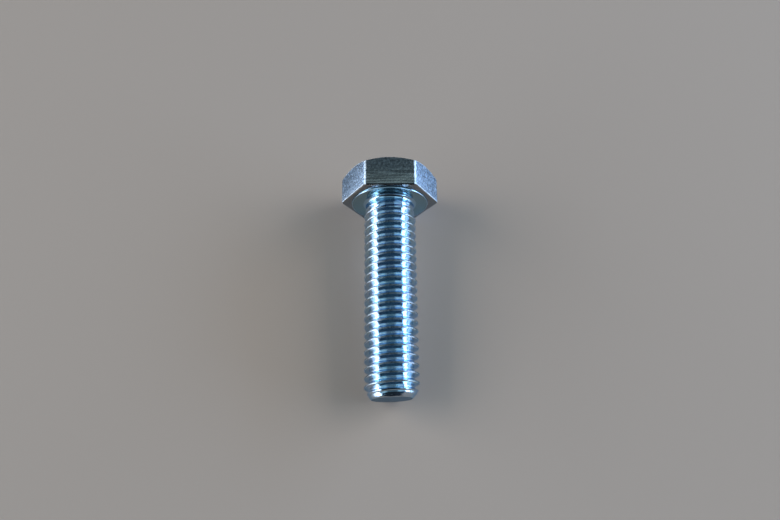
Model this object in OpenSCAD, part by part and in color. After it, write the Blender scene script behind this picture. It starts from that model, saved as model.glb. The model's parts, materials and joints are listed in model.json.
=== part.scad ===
// Hex head screw, M8 x 30, threaded over its whole length, cold-headed and rolled
// from one piece of steel. It is modelled lying down, as it comes to rest: the axis
// runs along Y with the tip towards -Y, and the middle of the bearing face, where the
// head seats on the work, is the origin. The screw is built along its own axis first,
// with the bearing face at z = 0 and the tip at z = shank_l, and is laid down last.

/* [Head] */
// Width across the wrench flats
flats_w = 13; // [11:0.5:19]
// How far the rounded corners lie inside the sharp ones
corner_cut = 0.155; // [0.02:0.005:0.4]
// Head height, from the bearing face to the crown
head_h = 5.2; // [4:0.05:8]
// Distance from the flats in to the flat crown
crown_inset = 0.75; // [0.1:0.05:1.5]
// Slope of the chamfer round the crown, in degrees
crown_slope = 30; // [15:1:35]
// Distance from the flats in to the raised washer face
washer_inset = 0.65; // [0.2:0.05:1]
// Height of the raised washer face
washer_h = 0.2; // [0.1:0.05:0.8]

/* [Shank] */
// Length from the bearing face to the tip
shank_l = 30; // [10:1:40]
// How far the plain neck lies below the thread crests
neck_drop = 0.35; // [0.25:0.01:0.4]
// Length of the plain neck, up to the first trace of thread
neck_l = 0.8; // [0.8:0.05:4]
// Radius of the fillet between the neck and the head
fillet_r = 0.5; // [0.45:0.05:0.75]

/* [Thread] */
// Diameter over the thread crests
crest_d = 7.87; // [6:0.01:8.2]
// Pitch of the thread
pitch = 1.25; // [1:0.05:1.5]
// Angle between the two flanks of the thread, in degrees
flank_angle = 60; // [55:1:70]
// Width of the flat crest, as a share of the pitch
crest_share = 0.125; // [0.08:0.005:0.2]
// Width of the root between the flanks, as a share of the pitch
root_share = 0.25; // [0.15:0.01:0.35]
// Extra depth in the middle of the rounded root
root_round = 0.05; // [0.01:0.01:0.1]
// Axial length over which the thread grows out of the neck
runout_l = 1.2; // [0.5:0.1:3]
// Distance from the bearing face to the first crest, on the +X side
first_crest = 1.64; // [0.8:0.01:3]

/* [Tip] */
// Axial length of the tip chamfer, up to the crests
tip_chamfer = 1.4; // [0.8:0.05:1.6]
// Slope of the tip chamfer against the axis, in degrees
tip_slope = 28; // [20:1:32]
// Radius between the chamfer and the flat tip face
tip_round = 0.8; // [0.4:0.05:1]

/* [Hidden] */
$fn = 64;

steel = [0.72, 0.77, 0.84];

// Segments of the thread in one turn
turn_steps = 36;
// How far the thread body stays under the surface of the neck it grows from
neck_step = 0.03;
// Least share of the thread's depth that is left beyond the tip
least_depth = 0.1;

thread_depth = pitch * (1 - crest_share - root_share) / 2 / tan(flank_angle / 2);
crest_r = crest_d / 2;
root_r = crest_r - thread_depth;
bottom_r = root_r - root_round;
neck_r = crest_r - neck_drop;
lead_r = neck_r - neck_step;

corner_r = flats_w / 2 / cos(30) - corner_cut;
crown_r = flats_w / 2 - crown_inset;
washer_r = flats_w / 2 - washer_inset;

// One pitch of the thread's section: [distance along the axis from the crest's
// first edge, radius], over the flat crest, down one flank and across the rounded root
section = [
    [0, crest_r],
    [pitch * crest_share, crest_r],
    [pitch * (1 + crest_share - root_share) / 2, root_r],
    [pitch * (1 + crest_share) / 2, bottom_r],
    [pitch * (1 + crest_share + root_share) / 2, root_r]
];

// Whole turns that the thread body reaches back into the head, and on past the tip
lead_turns = ceil((first_crest - neck_l) / pitch) + 1;
tip_turns = ceil((shank_l - first_crest) / pitch) + 1;
section_n = len(section);
column_n = (lead_turns + tip_turns) * section_n + 1;
start_z = first_crest - pitch * crest_share / 2 - lead_turns * pitch;

// Share of the full thread section that is formed at distance z from the bearing face
function formed(z) = max(0, min(1, (z - neck_l) / runout_l));

// Share of the thread's depth that is left at z, where the dies run over the chamfered tip
function depth_left(z) =
    max(least_depth, 1 - max(0, z - shank_l + tip_chamfer) * tan(tip_slope) / (crest_r - bottom_r));

// Point j, counted along the axis, of the column at segment i of the turn
function thread_point(i, j) =
    let (
        part = section[j % section_n],
        z = start_z + pitch * (floor(j / section_n) + i / turn_steps) + part[0],
        rolled_r = bottom_r + (part[1] - bottom_r) * depth_left(z),
        r = lead_r + (rolled_r - lead_r) * formed(z),
        a = 360 * i / turn_steps
    )
    [r * cos(a), r * sin(a), z];

// Index of that point: past the last column comes the first one, one turn further on
function at(i, j) = i < turn_steps ? i * column_n + j : at(i - turn_steps, j + section_n);

// Clearance of the rounded tip end outside the crests, and steps of its round
tip_clear = 0.1;
tip_steps = 5;
// Extra radius of the blank outside the crests
spare = 1;

// Turns from the +X side round to the underside of the screw
underside = 0.75;
// The last full crest under the screw, before the chamfer
rest_turns = floor((shank_l - tip_chamfer - first_crest) / pitch - underside) + underside;
rest_crest = first_crest + pitch * rest_turns;
// The screw rests on an edge of its head and on that crest
rest_tilt = atan((flats_w / 2 - crest_r) / (rest_crest + washer_h));

// Hexagon with a crown chamfer, rounded corners and a raised washer face
module head() {
    intersection() {
        translate([0, 0, -head_h])
            cylinder(d = flats_w / cos(30), h = head_h - washer_h, $fn = 6);
        rotate_extrude()
            polygon([
                [0, 0],
                [corner_r, 0],
                [corner_r, (corner_r - crown_r) * tan(crown_slope) - head_h],
                [crown_r, -head_h],
                [0, -head_h]
            ]);
    }
    translate([0, 0, -head_h / 2])
        cylinder(r = washer_r, h = head_h / 2);
}

// Plain neck, flared by the fillet where it meets the bearing face
module neck() {
    translate([0, 0, -head_h / 2])
        cylinder(r = neck_r, h = head_h / 2 + neck_l);
    rotate_extrude()
        difference() {
            translate([0, -washer_h])
                square([neck_r + fillet_r, washer_h + fillet_r]);
            translate([neck_r + fillet_r, fillet_r])
                circle(r = fillet_r);
        }
}

// Right-hand thread as one helical strip, with both ends closed on the axis
module thread_body() {
    last = column_n - 1;
    top = turn_steps - 1;
    foot = turn_steps * column_n;
    points = concat(
        [for (i = [0 : top]) for (j = [0 : last]) thread_point(i, j)],
        [[0, 0, start_z], [0, 0, start_z + (lead_turns + tip_turns + 1) * pitch]]
    );
    skin = [
        for (i = [0 : top]) for (j = [0 : (i < top ? last : last - section_n) - 1]) each [
            [at(i, j), at(i, j + 1), at(i + 1, j)],
            [at(i, j + 1), at(i + 1, j + 1), at(i + 1, j)]
        ]
    ];
    lower_end = concat(
        [for (i = [0 : top]) [foot, at(i, 0), at(i + 1, 0)]],
        [for (j = [0 : section_n - 1]) [foot, at(0, j + 1), at(0, j)]]
    );
    upper_end = concat(
        [for (i = [0 : top - 1]) [foot + 1, at(i + 1, last), at(i, last)]],
        [for (j = [last - section_n : last - 1]) [foot + 1, at(top, j), at(top, j + 1)]],
        [[foot + 1, at(0, last), at(top, last - section_n)]]
    );
    polyhedron(points, concat(skin, lower_end, upper_end));
}

// Room that the chamfered and rounded tip leaves to the thread
module tip_envelope() {
    corner = crest_r + tip_clear - tip_chamfer * tan(tip_slope);
    face_r = corner - tip_round * tan((90 - tip_slope) / 2);
    rotate_extrude()
        polygon(concat(
            [
                [0, start_z - pitch],
                [crest_r + spare, start_z - pitch],
                [crest_r + spare, shank_l - tip_chamfer - (spare - tip_clear) / tan(tip_slope)]
            ],
            [
                for (k = [0 : tip_steps])
                    let (a = tip_slope + (90 - tip_slope) * k / tip_steps)
                    [face_r + tip_round * cos(a), shank_l - tip_round * (1 - sin(a))]
            ],
            [[0, shank_l]]
        ));
}

module hex_screw() {
    color(steel)
        rotate([90 + rest_tilt, 0, 0]) {
            head();
            neck();
            intersection() {
                thread_body();
                tip_envelope();
            }
        }
}

hex_screw();
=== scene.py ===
import json
import math

import bpy
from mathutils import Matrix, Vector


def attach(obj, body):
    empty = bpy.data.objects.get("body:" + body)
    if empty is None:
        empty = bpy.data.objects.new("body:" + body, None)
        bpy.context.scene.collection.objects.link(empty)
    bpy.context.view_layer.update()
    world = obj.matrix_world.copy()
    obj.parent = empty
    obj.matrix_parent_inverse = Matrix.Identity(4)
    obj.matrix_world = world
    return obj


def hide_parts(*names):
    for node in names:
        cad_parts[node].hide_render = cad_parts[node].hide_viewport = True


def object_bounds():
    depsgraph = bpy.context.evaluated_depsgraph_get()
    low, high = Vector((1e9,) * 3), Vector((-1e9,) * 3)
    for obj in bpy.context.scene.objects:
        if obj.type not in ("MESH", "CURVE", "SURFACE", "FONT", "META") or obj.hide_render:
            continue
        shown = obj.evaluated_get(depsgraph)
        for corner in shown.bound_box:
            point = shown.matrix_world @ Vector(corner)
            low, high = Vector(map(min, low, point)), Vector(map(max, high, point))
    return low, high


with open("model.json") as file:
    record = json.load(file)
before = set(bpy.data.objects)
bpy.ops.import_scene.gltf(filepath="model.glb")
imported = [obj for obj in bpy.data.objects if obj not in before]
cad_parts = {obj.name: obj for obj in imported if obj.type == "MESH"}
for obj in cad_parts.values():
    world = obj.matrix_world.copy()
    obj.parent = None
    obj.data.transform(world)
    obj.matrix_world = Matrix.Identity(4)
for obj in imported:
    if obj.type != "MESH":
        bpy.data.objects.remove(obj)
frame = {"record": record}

cad_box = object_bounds()

# ---------------------------------------------------------------------------
# Head. It is upset from the steel wire in a die: a hexagon with slightly rounded
# corners and a 30 degree chamfer round its crown. Its sides keep the frosted
# look of the die; its edges, thick with zinc plating, are painted pale as a highlight.
# ---------------------------------------------------------------------------
mm = 0.001
hair = 0.001 * mm

# The screw is made standing on its head, tip up, and is laid down when whole.
mounts = {mount["name"]: mount for mount in frame["record"]["mounts"]}
tip_way = mounts["bearing_face"]["axis"]
tilt = math.atan2(-tip_way[2], -tip_way[1])

head_h = 5.2 * mm
washer_h = 0.2 * mm
flats_w = math.dist(mounts["wrench_flat_top"]["pos_m"], mounts["wrench_flat_under"]["pos_m"])
corner_r = flats_w / math.sqrt(3)
washer_r = flats_w / 2 - 0.65 * mm
crown_r = flats_w / 2 - 0.75 * mm
crown_slope = math.radians(30)
corner_round = 0.32 * mm
crown_edge_round = 0.20 * mm
bearing_edge_round = 0.10 * mm
turn_steps = 192


def pick(piece):
    """Makes one piece the only selected and active one."""
    bpy.ops.object.select_all(action="DESELECT")
    piece.select_set(True)
    bpy.context.view_layer.objects.active = piece


def apply_modifier(piece, kind, **settings):
    """Adds a modifier with these settings and applies it."""
    pick(piece)
    modifier = piece.modifiers.new(kind.title(), kind)
    for key, value in settings.items():
        setattr(modifier, key, value)
    bpy.ops.object.modifier_apply(modifier=modifier.name)


def cut(piece, tool, how):
    """Combines two closed pieces, each with its own finishes, and removes the second."""
    apply_modifier(piece, "BOOLEAN", operation=how, solver="MANIFOLD",
                   material_mode="TRANSFER", object=tool)
    bpy.data.objects.remove(tool)


def turned(name, outline, steps, finish):
    """A solid turned round Z from (radius, height) points that start and end on the axis."""
    mesh = bpy.data.meshes.new(name)
    points = [(radius, 0, height) for radius, height in outline]
    mesh.from_pydata(points, [(i, i + 1) for i in range(len(points) - 1)], [])
    piece = bpy.data.objects.new(name, mesh)
    piece.data.materials.append(finish)
    bpy.context.collection.objects.link(piece)
    apply_modifier(piece, "SCREW", angle=2 * math.pi, steps=steps, render_steps=steps,
                   use_merge_vertices=True, merge_threshold=hair)
    bpy.ops.object.mode_set(mode="EDIT")
    bpy.ops.mesh.select_all(action="SELECT")
    bpy.ops.mesh.remove_doubles(threshold=hair)
    bpy.ops.mesh.normals_make_consistent(inside=False)
    bpy.ops.object.mode_set(mode="OBJECT")
    return piece


def number(piece, finish):
    """The number of a finish among those of a piece."""
    return piece.data.materials.find(finish.name)


def plated(name, roughness, tone=(0.5, 0.64, 0.75)):
    """A new plated finish, its shader, and the place in a frame whose Z runs along the screw."""
    finish = bpy.data.materials.new(name)
    finish.use_nodes = True
    nodes = finish.node_tree.nodes
    shader = nodes["Principled BSDF"]
    shader.inputs["Base Color"].default_value = (*tone, 1)
    shader.inputs["Metallic"].default_value = 1
    shader.inputs["Roughness"].default_value = roughness
    shader.inputs["Specular Tint"].default_value = (0.45, 0.70, 1.0, 1)
    place = nodes.new("ShaderNodeTexCoord")
    along = nodes.new("ShaderNodeMapping")
    along.inputs["Rotation"].default_value = (-math.radians(90) - tilt, 0, 0)
    finish.node_tree.links.new(place.outputs["Object"], along.inputs["Vector"])
    return finish, shader, along.outputs["Vector"]


def join(finish, kind, inputs, **settings):
    """Adds a node to a finish, with these settings, and its inputs set or linked."""
    node = finish.node_tree.nodes.new(kind)
    for key, value in settings.items():
        setattr(node, key, value)
    for key, value in inputs.items():
        if isinstance(value, bpy.types.NodeSocket):
            finish.node_tree.links.new(value, node.inputs[key])
        else:
            node.inputs[key].default_value = value
    return node


def link(finish, source, shader, key):
    finish.node_tree.links.new(source, shader.inputs[key])


def noise(finish, vector, size, detail=2.0):
    """Noise with features of about this size, in metres."""
    return join(finish, "ShaderNodeTexNoise", {
        "Vector": vector, "Scale": 1 / size, "Detail": detail}).outputs["Fac"]


def stretched(finish, vector, scale):
    """The place drawn out along the axes whose scale is below 1."""
    return join(finish, "ShaderNodeMapping", {"Vector": vector, "Scale": scale}).outputs["Vector"]


def off_axis(finish, vector):
    """The distance from the Z axis."""
    flat = join(finish, "ShaderNodeVectorMath", {0: vector, 1: (1, 1, 0)}, operation="MULTIPLY")
    length = join(finish, "ShaderNodeVectorMath", {0: flat.outputs["Vector"]}, operation="LENGTH")
    return length.outputs["Value"]


def ramp(finish, factor, stops):
    """A colour ramp of (place, colour) stops."""
    node = join(finish, "ShaderNodeValToRGB", {"Fac": factor})
    elements = node.color_ramp.elements
    while len(elements) < len(stops):
        elements.new(0.5)
    for element, (place, color) in zip(elements, stops):
        element.position = place
        element.color = (*color, 1)
    return node.outputs["Color"]


def levels(finish, value, low, high, to_low=0.0, to_high=1.0):
    """Maps low to to_low and high to to_high, and stops there."""
    return join(finish, "ShaderNodeMapRange", {
        "Value": value, "From Min": low, "From Max": high,
        "To Min": to_low, "To Max": to_high}).outputs["Result"]


def times(finish, first, second):
    product = join(finish, "ShaderNodeMath", {0: first, 1: second}, operation="MULTIPLY")
    return product.outputs["Value"]


def mixed(finish, factor, first, second, how="MIX"):
    """Mixes two colours, by a factor and a blend type."""
    node = finish.node_tree.nodes.new("ShaderNodeMix")
    node.data_type = "RGBA"
    node.blend_type = how
    for socket, value in (("Factor", factor), ("A", first), ("B", second)):
        target = [s for s in node.inputs if s.name == socket and s.enabled][0]
        if isinstance(value, bpy.types.NodeSocket):
            finish.node_tree.links.new(value, target)
        else:
            target.default_value = value
    return [s for s in node.outputs if s.enabled][0]


def bump(finish, shader, height, depth, before=None):
    """Raises the surface by depth metres where height is 1."""
    inputs = {"Height": height, "Distance": depth, "Strength": 1.0}
    if before is not None:
        inputs["Normal"] = before
    node = join(finish, "ShaderNodeBump", inputs)
    link(finish, node.outputs["Normal"], shader, "Normal")
    return node.outputs["Normal"]


# The flats are frosted all over and drawn in lines near the bearing face, most of
# all on the upper and the lower one. The crown is smoother.
flats, shader, along = plated("frosted_flats", 0.3)
shader.inputs["Metallic"].default_value = 0.95
parts = join(flats, "ShaderNodeSeparateXYZ", {"Vector": along}).outputs
height = parts["Z"]
aside = join(flats, "ShaderNodeMath", {0: parts["X"]}, operation="ABSOLUTE").outputs["Value"]
on_side = levels(flats, aside, 3.65 * mm, 3.80 * mm)
off_crown = levels(flats, height, -5.0 * mm, -4.6 * mm)
near_bearing = times(
    flats, levels(flats, height, -3.4 * mm, -2.0 * mm, 0.1, 0.75),
    levels(flats, on_side, 0, 1, 1.0, 0.35))
frost = noise(flats, along, 0.26 * mm, 4)
rules = noise(flats, stretched(flats, along, (0.04, 0.04, 1.0)), 0.22 * mm, 4)
mottle = ramp(flats, noise(flats, along, 0.36 * mm, 5), [
    (0.34, (0.25, 0.25, 0.24)), (0.50, (0.41, 0.41, 0.395)), (0.66, (0.72, 0.72, 0.69))])
lines = ramp(flats, rules, [
    (0.42, (0.18, 0.18, 0.17)), (0.50, (0.38, 0.38, 0.35)), (0.58, (0.66, 0.66, 0.61))])
# The four side flats are painted bluer and the upper and lower ones warmer: a painted reflection of
# the blue side lamps.
film_tint_and_painted_sheen = ramp(flats, on_side, [(0.0, (1.04, 0.97, 0.89)), (1.0, (0.90, 1.06, 1.34))])
drawn = mixed(flats, 1.0, mixed(flats, near_bearing, mottle, lines), film_tint_and_painted_sheen, "MULTIPLY")
pressed = ramp(flats, noise(flats, along, 0.8 * mm, 5), [
    (0.35, (0.34, 0.35, 0.35)), (0.65, (0.48, 0.49, 0.49))])
link(flats, mixed(flats, off_crown, pressed, drawn), shader, "Base Color")
link(flats, levels(flats, frost, 0.3, 0.7, 0.20, 0.38), shader, "Roughness")
pits = bump(flats, shader, times(flats, frost, levels(flats, off_crown, 0, 1, 0.3, 1.0)), 0.05 * mm)
bump(flats, shader, times(flats, rules, near_bearing), 0.04 * mm, pits)

# The edge roundings are thick plating, painted pale and partly matt as a highlight line.
edges, shader, along = plated("thick_plating_painted_pale_highlight", 0.45)
shader.inputs["Metallic"].default_value = 0.4
link(edges, ramp(edges, noise(edges, along, 0.35 * mm, 2), [
    (0.40, (0.55, 0.60, 0.64)), (0.58, (0.92, 0.94, 0.97))]), shader, "Base Color")
bump(edges, shader, noise(edges, along, 0.12 * mm, 3), 0.02 * mm)

# The base is darker and greener than the rest of the plating: painted shade for the shadowed floor
# that the face reflects.
bearing, shader, along = plated("struck_bearing_face_painted_shade", 0.16)
to_rim = levels(bearing, off_axis(bearing, along), washer_r - 1.2 * mm, washer_r + 0.2 * mm)
link(bearing, ramp(bearing, to_rim, [
    (0.0, (0.34, 0.46, 0.48)), (0.8, (0.36, 0.47, 0.48)), (1.0, (0.38, 0.36, 0.34))]),
    shader, "Base Color")
smears = noise(bearing, along, 0.6 * mm, 4)
link(bearing, levels(bearing, smears, 0.3, 0.7, 0.09, 0.18), shader, "Roughness")
scores = noise(bearing, stretched(bearing, along, (0.25, 1.0, 1.0)), 0.18 * mm, 4)
bump(bearing, shader, scores, 0.006 * mm)

bpy.ops.object.select_all(action="DESELECT")
bpy.ops.mesh.primitive_cylinder_add(
    vertices=6, radius=corner_r, depth=head_h - washer_h,
    location=(0, 0, -(head_h + washer_h) / 2), rotation=(0, 0, math.radians(30)))
screw = bpy.context.object
screw.name = "screw"
for finish in (flats, edges, bearing):
    screw.data.materials.append(finish)
bpy.ops.object.transform_apply(location=True, rotation=True, scale=True)
bpy.ops.object.mode_set(mode="EDIT")
bpy.ops.mesh.select_all(action="DESELECT")
bpy.ops.object.mode_set(mode="OBJECT")
for edge in screw.data.edges:
    ends = [screw.data.vertices[i].co.z for i in edge.vertices]
    edge.select = abs(ends[0] - ends[1]) > head_h / 2
bpy.ops.object.mode_set(mode="EDIT")
bpy.ops.mesh.select_mode(type="EDGE")
bpy.ops.mesh.bevel(offset=corner_round, segments=4, affect="EDGES", material=number(screw, edges))
bpy.ops.object.mode_set(mode="OBJECT")

outside_r = corner_r * 1.1
crown_rise = (outside_r - crown_r) * math.tan(crown_slope)
cut(screw, turned("crown", [
    (0, -head_h), (crown_r, -head_h), (outside_r, crown_rise - head_h), (outside_r, mm), (0, mm)],
    turn_steps, flats), "INTERSECT")


def round_edges(piece, low, high, width):
    """Rounds the sharp edges whose middles lie between two heights."""
    pick(piece)
    bpy.ops.object.mode_set(mode="EDIT")
    bpy.ops.mesh.select_mode(type="EDGE")
    bpy.ops.mesh.select_all(action="DESELECT")
    bpy.ops.mesh.edges_select_sharp(sharpness=math.radians(20))
    bpy.ops.object.mode_set(mode="OBJECT")
    points = piece.data.vertices
    for edge in piece.data.edges:
        middle = sum(points[i].co.z for i in edge.vertices) / 2
        edge.select = edge.select and low < middle < high
    bpy.ops.object.mode_set(mode="EDIT")
    bpy.ops.mesh.bevel(offset=width, segments=3, affect="EDGES", material=number(piece, edges),
                       clamp_overlap=True)
    bpy.ops.object.mode_set(mode="OBJECT")


round_edges(screw, -head_h - mm, -head_h / 2, crown_edge_round)
round_edges(screw, -head_h / 2, 0, bearing_edge_round)

# The pale painted highlight stays on the middle of each rounding, and there is
# none round the upper flat, whose bearing-side edges take the darker bearing tone as painted shade.
for face in screw.data.polygons:
    upright = math.hypot(face.normal.x, face.normal.y) > 0.99
    from_flat = (math.degrees(math.atan2(face.normal.y, face.normal.x)) - 30) % 60
    from_corner = abs(from_flat - 30)
    on_top = face.center.y > 0.45 * flats_w and abs(face.center.x) < 0.48 * corner_r
    if face.normal.z > 0.5 or on_top and face.normal.z > 0.1:
        face.material_index = number(screw, bearing)
    elif upright and from_corner > 15 or on_top:
        face.material_index = number(screw, flats)

# ---------------------------------------------------------------------------
# Washer face and neck. The die leaves a low round land under the hexagon,
# which is all that bears on the work, and a fillet runs from it into the plain
# neck, which has fine rings round it from drawing.
# ---------------------------------------------------------------------------
neck, shader, along = plated("drawn_neck", 0.13, (0.50, 0.64, 0.74))
rings = noise(neck, stretched(neck, along, (0.03, 0.03, 1.0)), 0.16 * mm, 3)
bump(neck, shader, rings, 0.016 * mm)

# The rim is burnished, and its base is painted paler than the rest of the plating as a highlight.
rim_finish = plated("burnished_rim_painted_highlight", 0.28, (0.66, 0.74, 0.80))[0]

neck_r = 3.585 * mm
fillet_r = 0.5 * mm
rim_round = 0.07 * mm
rim_middle = 0.02 * mm
fillet = [
    (neck_r + fillet_r * (1 - math.sin(math.radians(a))),
     fillet_r * (1 - math.cos(math.radians(a))))
    for a in range(0, 91, 10)]
inside_thread = fillet_r + 0.05 * mm
land = turned("washer_face", [
    (0, -head_h / 2), (washer_r, -head_h / 2), (washer_r, -rim_round),
    (washer_r - rim_middle, -rim_middle), (washer_r - rim_round, 0),
    *fillet, (neck_r - 0.1 * mm, inside_thread), (0, inside_thread)], turn_steps, bearing)
for finish in (rim_finish, neck):
    land.data.materials.append(finish)
for face in land.data.polygons:
    if -rim_round < face.center.z < -hair:
        face.material_index = number(land, rim_finish)
    elif face.center.z > hair:
        face.material_index = number(land, neck)
cut(screw, land, "UNION")

# ---------------------------------------------------------------------------
# Thread. It is rolled between dies, right-hand, 1.25 mm pitch, with burnished
# flanks and rounded crests, each with a thin dull seam where the metal meets.
# It fades out into the neck, and its crests run down over the tip chamfer.
# ---------------------------------------------------------------------------
shank_l = 2 * math.dist(mounts["thread"]["pos_m"], mounts["bearing_face"]["pos_m"])
pitch = 1.25 * mm
crest_r = 3.935 * mm
pitch_r = 3.55 * mm
crest_round = 0.15 * mm
root_round = 0.18 * mm
half_flank = math.radians(30)
first_crest = 1.64 * mm
tip_chamfer = 1.4 * mm
tip_slope = math.radians(28)
past_tip = 0.6 * mm
thread_steps = 96

crest_edge = pitch / 4 - (crest_r - pitch_r) * math.tan(half_flank)
crest_arc = crest_edge - crest_round * math.tan(half_flank)
root_arc = pitch_r + (root_round - pitch / 4 * math.cos(half_flank)) / math.sin(half_flank)
root_r = root_arc - root_round

rolled, shader, along = plated("rolled_thread", 0.12)
depth = levels(rolled, off_axis(rolled, along), root_r, crest_r)
tone = ramp(rolled, depth, [
    (0.0, (0.60, 0.70, 0.78)), (0.5, (0.59, 0.70, 0.79)), (0.88, (0.60, 0.70, 0.78)),
    (0.95, (0.74, 0.80, 0.84)), (0.983, (0.80, 0.85, 0.88)), (0.993, (0.20, 0.19, 0.18))])
film_tint_and_painted_sheen = ramp(rolled, noise(rolled, along, 2.2 * mm, 3), [
    (0.35, (0.93, 1.0, 0.98)), (0.50, (1.0, 1.0, 1.0)), (0.65, (1.0, 0.97, 1.0))])
link(rolled, mixed(rolled, 1.0, tone, film_tint_and_painted_sheen, "MULTIPLY"), shader, "Base Color")
dull = ramp(rolled, depth, [
    (0.0, (0.22, 0.22, 0.22)), (0.22, (0.11, 0.11, 0.11)), (0.76, (0.11, 0.11, 0.11)),
    (0.96, (0.25, 0.25, 0.25)), (0.983, (0.25, 0.25, 0.25)), (0.993, (0.36, 0.36, 0.36))])
patchy = levels(rolled, noise(rolled, along, 0.5 * mm, 3), 0.3, 0.7, 0.75, 1.35)
link(rolled, times(rolled, dull, patchy), shader, "Roughness")
waves = bump(rolled, shader, noise(rolled, along, 1.1 * mm, 2), 0.02 * mm)
bump(rolled, shader, noise(rolled, along, 0.22 * mm, 3), 0.006 * mm, waves)

half_section = [
    (crest_arc + crest_round * math.sin(math.radians(a)),
     crest_r - crest_round * (1 - math.cos(math.radians(a))))
    for a in range(0, 61, 15)]
root_half = [
    (pitch / 2 - root_round * math.sin(math.radians(a)),
     root_arc - root_round * math.cos(math.radians(a)))
    for a in range(60, -1, -15)]
half_section += [
    tuple(a + share * (b - a) for a, b in zip(half_section[-1], root_half[0]))
    for share in (0.2, 0.4, 0.6, 0.8)]
half_section += root_half
section = half_section + [
    (pitch - along_it, radius) for along_it, radius in reversed(half_section[:-1])]
section.append((pitch + crest_arc, crest_r))
turns_back = 4
turns = turns_back + math.ceil((shank_l - first_crest) / pitch) + 2
mesh = bpy.data.meshes.new("thread")
mesh.from_pydata(
    [(radius, 0, along_it + first_crest - turns_back * pitch) for along_it, radius in section],
    [(i, i + 1) for i in range(len(section) - 1)], [])
thread = bpy.data.objects.new("thread", mesh)
thread.data.materials.append(rolled)
thread.data.materials.append(neck)
bpy.context.collection.objects.link(thread)
apply_modifier(thread, "SCREW", angle=2 * math.pi, screw_offset=pitch, iterations=turns,
               steps=thread_steps, render_steps=thread_steps)
bpy.ops.object.mode_set(mode="EDIT")
bpy.ops.mesh.select_all(action="SELECT")
bpy.ops.mesh.remove_doubles(threshold=hair)
for end_z, way in ((-mm, -1), (shank_l + past_tip, 1)):
    bpy.ops.mesh.bisect(plane_co=(0, 0, end_z), plane_no=(0, 0, way),
                        clear_outer=True, use_fill=True, threshold=1e-8)
    bpy.ops.mesh.select_all(action="SELECT")
bpy.ops.mesh.normals_make_consistent(inside=False)
bpy.ops.object.mode_set(mode="OBJECT")

# Towards the neck the dies press less deep, and the metal that each groove pushes
# out stands in a lip on either side of it, until two lips meet in a full crest.
# Over the chamfered tip there is less and less metal, which stands in two lips too.
runout_start = 0.1 * mm
runout_end = 2.1 * mm
bare_neck_l = 0.7 * mm
below_neck = 0.015 * mm
groove_bottom = 0.12 * mm
first_press = 0.02 * mm
lip_rise = 1.35
lip_width = 0.16 * mm
trough_depth = 0.10 * mm
trough_width = 0.10 * mm
trough_fade = 0.4 * mm
for vertex in thread.data.vertices:
    x, y, z = vertex.co
    radius = math.hypot(x, y)
    if radius < root_r / 2:
        continue
    turn = (z - first_crest) / pitch - math.atan2(y, x) / (2 * math.pi)
    from_root = abs((turn % 1) - 0.5) * pitch
    past = z - shank_l + tip_chamfer
    if past > 0:
        from_crest = pitch / 2 - from_root
        hollow = math.exp(-(from_crest / trough_width) ** 2)
        trough = trough_depth * min(1, past / trough_fade) * hollow
        factor = min(1, (crest_r - past * math.tan(tip_slope) - trough) / radius)
        vertex.co = (x * factor, y * factor, z)
    if z > runout_end:
        continue
    formed = max(0, (z - runout_start) / (runout_end - runout_start))
    formed = formed * formed * (3 - 2 * formed)
    pressed = radius + (1 - formed) * (neck_r - root_r)
    groove = max(0, (neck_r - root_r) * formed - first_press) * math.tan(half_flank) + groove_bottom
    from_lip = max(0, from_root - groove)
    lip = (crest_r - neck_r) * lip_rise * formed * math.exp(-(from_lip / lip_width) ** 2)
    factor = min(pressed, neck_r - below_neck + lip) / radius
    vertex.co = (x * factor, y * factor, z)
for face in thread.data.polygons:
    if face.center.z < bare_neck_l:
        face.material_index = number(thread, neck)

# ---------------------------------------------------------------------------
# Tip. The end of the wire is sheared, a little out of square, and chamfered
# before the thread is rolled, which leaves its rim rounded over.
# ---------------------------------------------------------------------------
sheared, shader, along = plated("sheared_tip_painted_shade", 0.36)
# The sheared face is dull, and its base is painted darker than the plating as shade for the
# shadowed floor under the tip.
link(sheared, ramp(sheared, noise(sheared, along, 0.9 * mm, 5), [
    (0.30, (0.21, 0.22, 0.22)), (0.70, (0.31, 0.31, 0.295))]), shader, "Base Color")
torn = bump(sheared, shader, noise(sheared, along, 0.8 * mm, 3), 0.03 * mm)
scratches = noise(sheared, stretched(sheared, along, (1.0, 0.2, 1.0)), 0.15 * mm, 3)
bump(sheared, shader, scratches, 0.012 * mm, torn)

pressed_end, shader, along = plated("pressed_chamfer", 0.10, (0.55, 0.65, 0.74))
bump(pressed_end, shader, noise(pressed_end, along, 0.3 * mm, 3), 0.01 * mm)

tip_round = 0.12 * mm
end_r = 2.93 * mm
end_slope = math.radians(43)
end_chamfer = 1.2 * mm
outside = mm
inside_head = 2 * mm
shear_rise = 0.12 * mm
shear_slope = math.radians(2.6)
shear_side = shear_slope * 0.7
face_r = end_r - tip_round * math.tan((math.pi / 2 - end_slope) / 2)
rounding = [
    (face_r + tip_round * math.cos(a), tip_round * (math.sin(a) - 1))
    for a in (end_slope + (math.pi / 2 - end_slope) * k / 4 for k in range(5))]
chamfer_r = end_r + end_chamfer * math.tan(end_slope)
tip = turned("tip", [
    (0, -shank_l - inside_head), (chamfer_r + outside, -shank_l - inside_head),
    (chamfer_r + outside, -end_chamfer - outside / math.tan(tip_slope)),
    (chamfer_r, -end_chamfer), *rounding, (0, 0)], turn_steps, pressed_end)
tip.data.materials.append(sheared)
for face in tip.data.polygons:
    if face.normal.z > 0.95:
        face.material_index = number(tip, sheared)
tip.location = (0, 0, shank_l + shear_rise)
tip.rotation_euler = (shear_slope, shear_side, 0)
pick(tip)
bpy.ops.object.transform_apply(location=True, rotation=True)
cut(thread, tip, "INTERSECT")
cut(screw, thread, "UNION")

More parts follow.
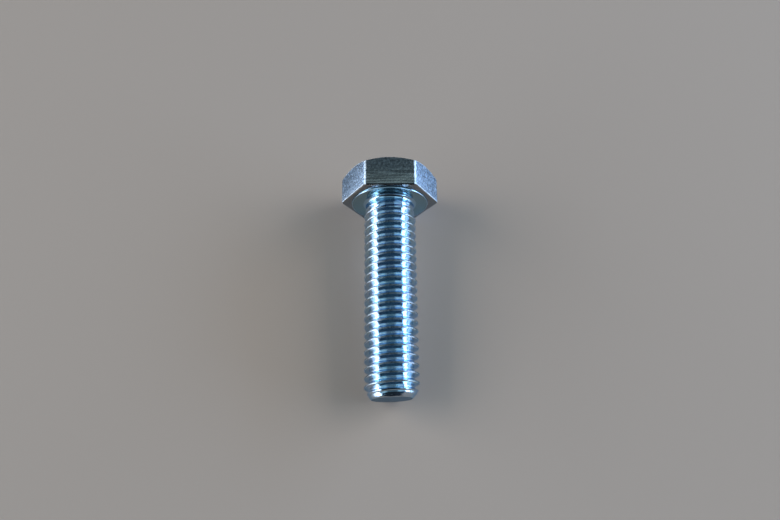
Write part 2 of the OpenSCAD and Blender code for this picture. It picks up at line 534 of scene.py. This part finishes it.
# Laid down as the mounts say
pick(screw)
screw.rotation_euler = (math.radians(90) + tilt, 0, 0)
bpy.ops.object.transform_apply(location=True, rotation=True, scale=True)
bpy.ops.object.shade_smooth_by_angle(angle=math.radians(28))
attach(screw, "root")
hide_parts("hex_screw")

# ---------------------------------------------------------------------------
# Floor. A round pale sheet, flat under the screw and turned up at its rim. It
# looks matt, and its far part is a little lighter than the lamps make it, so
# that it stays pale behind the screw.
# ---------------------------------------------------------------------------
paper = bpy.data.materials.new("floor")
paper.use_nodes = True
shader = paper.node_tree.nodes["Principled BSDF"]
shader.inputs["Roughness"].default_value = 0.25
place = join(paper, "ShaderNodeNewGeometry", {}).outputs["Position"]
height = join(paper, "ShaderNodeSeparateXYZ", {"Vector": place}).outputs["Z"]
link(paper, ramp(paper, levels(paper, height, 0, 0.3), [
    (0.0, (0.415, 0.328, 0.270)), (0.8, (0.85, 0.80, 0.76))]), shader, "Base Color")
rays = join(paper, "ShaderNodeLightPath", {}).outputs
link(paper, levels(paper, rays["Is Camera Ray"], 0, 1, 0.5, 0.0), shader, "Specular IOR Level")
shown = join(paper, "ShaderNodeMath", {
    0: rays["Is Camera Ray"], 1: rays["Is Glossy Ray"]}, operation="ADD").outputs["Value"]
shader.inputs["Emission Color"].default_value = (1.0, 0.94, 0.89, 1)
far, farther = 0.58, 0.65
lift = levels(paper, off_axis(paper, place), far, farther, 0, 0.15)
link(paper, times(paper, shown, lift), shader, "Emission Strength")
floor_r = 1.2
rim_r = 0.25
rim_h = 0.32
rim = [
    (floor_r + rim_r * math.sin(math.radians(a)), rim_r * (1 - math.cos(math.radians(a))))
    for a in range(0, 91, 6)]
floor = turned("floor", [(0, 0), *rim, (floor_r + rim_r, rim_h)], turn_steps // 2, paper)
floor.location = (0, 0, cad_box[0][2])
pick(floor)
bpy.ops.object.transform_apply(location=True)
bpy.ops.object.shade_smooth()

# ---------------------------------------------------------------------------
# Light. A long soft box stands low on each side of the screw, with a dimmer
# panel above each, in a dim blue room. A black flag hides the room in front,
# and a fill on each side lights the floor and casts the screw's soft shadow.
# ---------------------------------------------------------------------------
world = bpy.data.worlds.new("studio")
bpy.context.scene.world = world
world.use_nodes = True
room = world.node_tree.nodes["Background"]
room.inputs["Color"].default_value = (0.022, 0.056, 0.095, 1)
room.inputs["Strength"].default_value = 1


def soft_box(name, azimuth, elevation, distance, width, height, radiance, color):
    """A lamp that faces the screw from this direction, in degrees and metres."""
    data = bpy.data.lights.new(name, "AREA")
    data.shape = "RECTANGLE"
    data.size, data.size_y = width, height
    data.energy = radiance * math.pi * width * height
    data.color = color
    obj = bpy.data.objects.new(name, data)
    bpy.context.collection.objects.link(obj)
    az, el = math.radians(azimuth), math.radians(elevation)
    level = distance * math.cos(el)
    obj.location = (level * math.cos(az), level * math.sin(az), distance * math.sin(el))
    obj.rotation_euler = obj.location.to_track_quat("Z", "Y").to_euler()
    obj.visible_camera = False
    return obj


soft_box("left_box", 188, 10, 0.6, 1.1, 0.18, 6.3, (0.64, 0.80, 1))
soft_box("right_box", 12, 14, 0.6, 0.9, 0.20, 8.4, (0.43, 0.66, 1))
soft_box("left_panel", 180, 43, 0.6, 0.45, 0.42, 0.62, (0.58, 0.85, 1))
soft_box("right_panel", 0, 48, 0.6, 0.45, 0.42, 0.92, (0.50, 0.78, 1))
soft_box("front_panel", -146, 38, 0.6, 0.2, 0.25, 0.55, (0.56, 0.84, 1))
soft_box("top_box", -90, 85, 0.6, 1.3, 0.30, 0.29, (0.62, 0.90, 1))
for name, azimuth in (("left_fill", 172), ("right_fill", 10)):
    fill = soft_box(name, azimuth, 36, 1.0, 0.6, 0.5, 4.0, (1, 0.99, 0.98))
    fill.visible_glossy = False

black = bpy.data.materials.new("black_flag")
black.use_nodes = True
shader = black.node_tree.nodes["Principled BSDF"]
shader.inputs["Base Color"].default_value = (0.004, 0.006, 0.008, 1)
shader.inputs["Roughness"].default_value = 0.9
flag_w, flag_h = 0.32, 0.53
bpy.ops.object.select_all(action="DESELECT")
bpy.ops.mesh.primitive_plane_add(
    size=1, location=(0.015, -0.25, 0.27), rotation=(math.radians(90), 0, 0))
flag = bpy.context.object
flag.name = "black_flag"
flag.scale = (flag_w, flag_h, 1)
flag.visible_camera = False
flag.visible_diffuse = False
flag.visible_shadow = False
flag.data.materials.append(black)

# ---------------------------------------------------------------------------
# Camera. It looks down on the screw from in front of its tip.
# ---------------------------------------------------------------------------
data = bpy.data.cameras.new("camera")
camera = bpy.data.objects.new("camera", data)
bpy.context.collection.objects.link(camera)
camera.location = (-0.00173, -0.05523, 0.09206)
camera.rotation_euler = (math.radians(26.377), math.radians(-0.682), math.radians(-0.698))
data.lens = 31.76
data.sensor_width = 36
data.clip_start = 0.005
bpy.context.scene.camera = camera
bpy.context.scene.view_settings.view_transform = "Standard"
